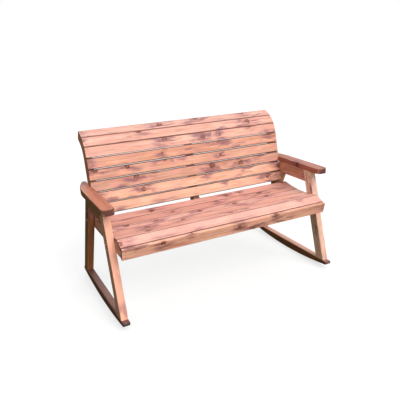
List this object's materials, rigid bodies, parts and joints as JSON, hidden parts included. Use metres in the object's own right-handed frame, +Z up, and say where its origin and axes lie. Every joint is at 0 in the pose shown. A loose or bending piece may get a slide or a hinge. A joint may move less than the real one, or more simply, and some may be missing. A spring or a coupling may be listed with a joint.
{
  "type": "rocking bench",
  "caption": "Timber rocking bench with a dished slatted seat, a back that scrolls over at the top, broad flat arms and leaning legs on curved rockers.",
  "frame": {"origin": "on the ground under the middle of the bench, halfway along the rockers", "axes": "+X along the bench towards the sitter's left, -Y the way the seat faces, +Z up"},
  "size_m": [1.588, 0.844, 1.0292],
  "materials": {
    "board_timber": "stained, planed softwood",
    "frame_timber": "stained, planed softwood",
    "arm_timber": "stained, planed softwood",
    "fastener_steel": "zinc plated"
  },
  "bodies": {
    "root": {"apron": "board_timber", "arm_left": "arm_timber", "arm_rail_left": "frame_timber", "arm_rail_right": "frame_timber", "arm_right": "arm_timber", "back_slat_1": "board_timber", "back_slat_2": "board_timber", "back_slat_3": "board_timber", "back_slat_4": "board_timber", "back_slat_5": "board_timber", "back_slat_6": "board_timber", "back_slat_7": "board_timber", "back_slat_8": "board_timber", "back_upright_centre": "frame_timber", "back_upright_left": "frame_timber", "back_upright_right": "frame_timber", "bolt_nuts": "fastener_steel", "frame_bolts": "fastener_steel", "front_leg_left": "frame_timber", "front_leg_right": "frame_timber", "rear_leg_left": "frame_timber", "rear_leg_right": "frame_timber", "rocker_left": "frame_timber", "rocker_right": "frame_timber", "seat_rail_centre": "frame_timber", "seat_rail_left": "frame_timber", "seat_rail_right": "frame_timber", "seat_slat_1": "board_timber", "seat_slat_2": "board_timber", "seat_slat_3": "board_timber", "seat_slat_4": "board_timber", "seat_slat_5": "board_timber", "seat_slat_6": "board_timber"}
  },
  "joints": []
}
